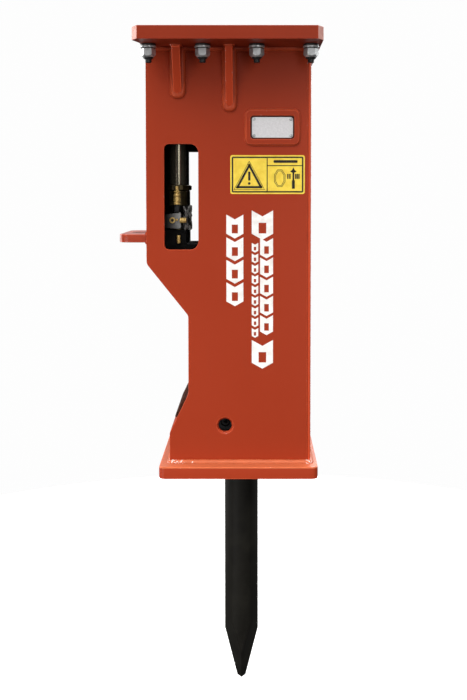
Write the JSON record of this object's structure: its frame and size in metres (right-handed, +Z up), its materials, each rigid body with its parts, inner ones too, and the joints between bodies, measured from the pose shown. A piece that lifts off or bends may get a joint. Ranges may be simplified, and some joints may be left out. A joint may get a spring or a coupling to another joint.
{
  "type": "hydraulic breaker hammer",
  "caption": "Hydraulic breaker hammer: percussion cell in a welded box housing with top bracket plate, hose window, bottom flange and a sliding pointed chisel.",
  "frame": {"origin": "on the tool axis, in the top mounting face", "axes": "+Z up along the tool axis away from the chisel, +X away from the hose side, -Y the near side with the name plate"},
  "size_m": [0.386, 0.45, 1.299],
  "materials": {
    "housing_paint": "semi-gloss orange-red enamel, worn at the edges",
    "zinc": "bright zinc plate",
    "bare_plate": "satin, blank",
    "label_yellow": null,
    "graphic_white": "white vinyl bars",
    "pad_rubber": "moulded polyurethane",
    "ribbed_rubber": "dark brown ribbed",
    "seal_rubber": "smooth",
    "cell_casting": "machined and oiled",
    "ground_steel": "ground",
    "bush_bronze": "machined bronze",
    "black_oxide": "black oxide",
    "grey_steel": "dull zinc",
    "yellow_brass": "passivated yellow",
    "hose_rubber": "smooth black",
    "tool_black": "black satin lacquer on forged steel"
  },
  "bodies": {
    "housing": {"adapter_plate": "housing_paint", "top_flange": "housing_paint", "near_side_plate": "housing_paint", "far_side_plate": "housing_paint", "right_wall": "housing_paint", "upper_left_wall": "housing_paint", "lower_left_wall": "housing_paint", "bottom_flange": "housing_paint", "short_gussets": "housing_paint", "long_gussets": "housing_paint", "side_lug": "housing_paint", "nameplate_frame": "housing_paint", "nameplate": "bare_plate", "nameplate_screws": "zinc", "yellow_label": "label_yellow", "white_graphics": "graphic_white", "ribbed_pad": "ribbed_rubber", "plate_screws": "zinc", "plate_washers": "zinc", "plate_nuts": "zinc", "upper_buffer": "pad_rubber", "back_head": "cell_casting", "gas_valve": "yellow_brass", "gas_valve_cap": "zinc", "cylinder": "cell_casting", "seal_carrier": "ground_steel", "gas_seals": "seal_rubber", "oil_seals": "seal_rubber", "valve_body": "cell_casting", "valve_plug": "zinc", "valve_screws": "grey_steel", "front_head": "cell_casting", "upper_bush": "bush_bronze", "lower_bush": "bush_bronze", "bush_pin": "ground_steel", "dust_seal": "seal_rubber", "lower_buffer": "pad_rubber", "wear_pads": "pad_rubber", "tie_rods": "black_oxide", "tie_rod_washers": "grey_steel", "tie_rod_nuts": "grey_steel", "port_blocks": "black_oxide", "port_block_screws": "grey_steel", "hose_adapters": "yellow_brass", "adapter_nuts": "black_oxide", "swivel_nuts": "black_oxide", "test_points": "yellow_brass", "line_clamp": "grey_steel", "clamp_straps": "grey_steel", "clamp_bolts": "yellow_brass", "inlet_hose": "hose_rubber", "outlet_hose": "hose_rubber", "hose_ferrules": "black_oxide", "top_couplings": "zinc", "coupling_nuts": "zinc", "grease_nipple": "yellow_brass"},
    "tool": {"chisel": "tool_black"},
    "hammer": {"piston": "ground_steel"},
    "spool": {"valve_spool": "ground_steel"},
    "tool_pin": {"retaining_pin": "ground_steel"}
  },
  "joints": [
    {"name": "chisel_slide", "type": "slide", "parent": "housing", "child": "tool", "axis": [0, 0, 1], "range_m": [0, 0.04]},
    {"name": "piston_stroke", "type": "slide", "parent": "housing", "child": "hammer", "axis": [0, 0, 1], "range_m": [0, 0.055]},
    {"name": "spool_shift", "type": "slide", "parent": "housing", "child": "spool", "axis": [0, 0, 1], "range_m": [0, 0.008]},
    {"name": "pin_removal", "type": "slide", "parent": "housing", "child": "tool_pin", "axis": [0, -1, 0], "range_m": [0, 0.19]}
  ]
}
